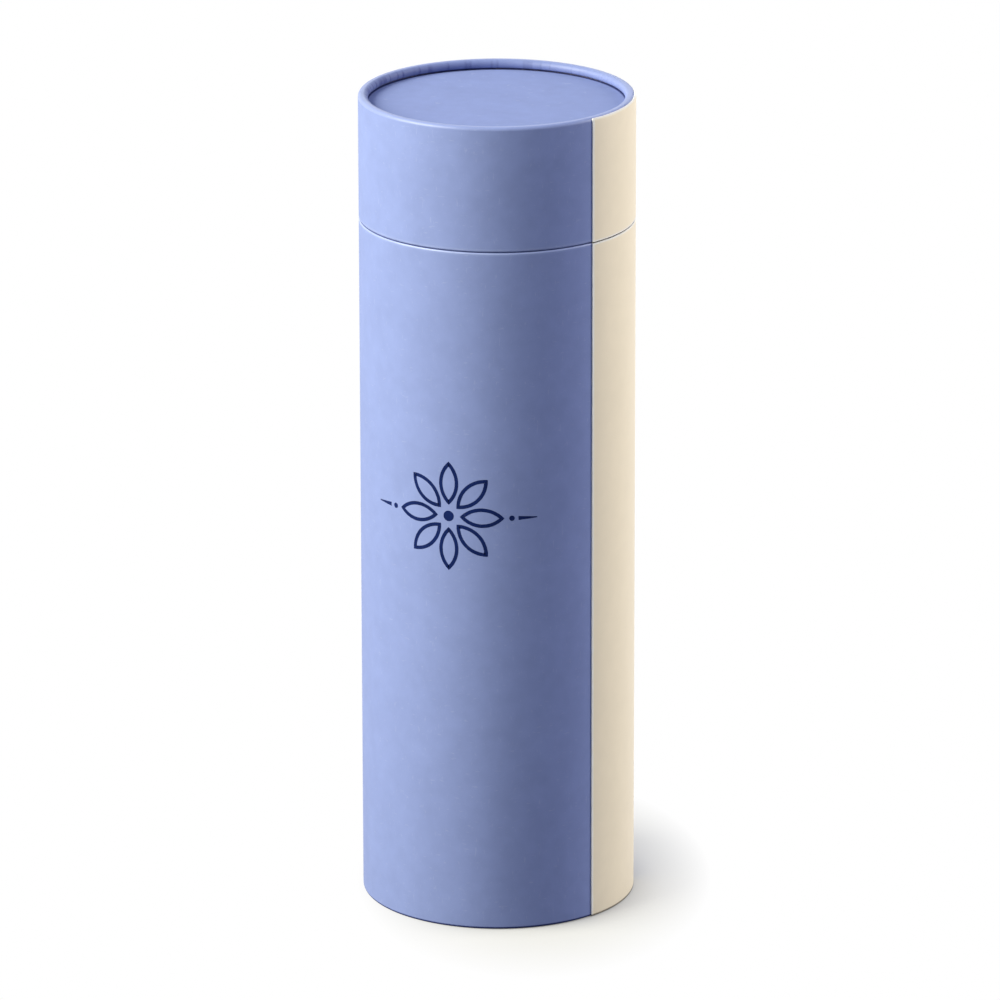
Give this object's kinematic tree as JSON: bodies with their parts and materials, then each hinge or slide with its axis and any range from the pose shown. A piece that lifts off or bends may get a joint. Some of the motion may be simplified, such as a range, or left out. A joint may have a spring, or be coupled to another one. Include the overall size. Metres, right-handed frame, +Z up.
{
  "type": "cylindrical gift tube box",
  "caption": "Tall round gift box of paper-covered board tube: a base with an inner neck, a flush lift-off lid with a rolled rim, and a card stripe up one side.",
  "frame": {"origin": "centre of the foot, on the plane that the box stands on", "axes": "+Z up along the tube's axis, the plain front faces -Y, the card stripe is centred on +X"},
  "size_m": [0.1004, 0.1, 0.3034],
  "materials": {
    "blue_paper": "matte",
    "cream_card": "matte",
    "cream_paper": "matte",
    "wound_board": "matte"
  },
  "bodies": {
    "base": {"base_tube": "wound_board", "base_wrap": "blue_paper", "base_stripe": "cream_card", "base_disc": "wound_board", "base_under_paper": "blue_paper", "base_floor_paper": "cream_paper", "neck_tube": "wound_board", "neck_wrap": "cream_paper", "neck_lining": "cream_paper"},
    "lid": {"lid_tube": "wound_board", "lid_wrap": "blue_paper", "lid_stripe": "cream_card", "lid_disc": "wound_board", "lid_top_paper": "blue_paper", "lid_ceiling_paper": "cream_paper", "lid_lining": "cream_paper"}
  },
  "joints": [
    {"name": "lid_lift", "type": "slide", "parent": "base", "child": "lid", "axis": [0, 0, 1], "range_m": [0, 0.07]}
  ]
}
